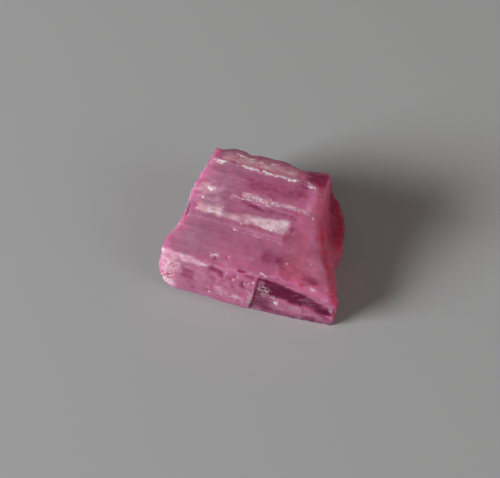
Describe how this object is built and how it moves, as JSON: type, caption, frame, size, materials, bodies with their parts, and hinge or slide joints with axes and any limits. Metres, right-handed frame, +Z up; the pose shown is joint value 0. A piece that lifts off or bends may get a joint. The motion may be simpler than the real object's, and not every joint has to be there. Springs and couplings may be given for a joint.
{
  "type": "raw rubellite crystal",
  "caption": "Rough broken piece of pink-red tourmaline prism, translucent with clear windows, lying on a flat prism face.",
  "frame": {"origin": "on the flat face that it lies on, under the middle of its length and depth", "axes": "+X along the prism's long axis towards the scooped break, +Y away from the near side with the clear window, +Z up"},
  "size_m": [0.0156, 0.013, 0.0075],
  "materials": {
    "rubellite": "translucent pink-red, lengthwise growth lines, glassy with frosted bands and a clear dark window"
  },
  "bodies": {
    "root": {"rubellite_crystal": "rubellite"}
  },
  "joints": []
}
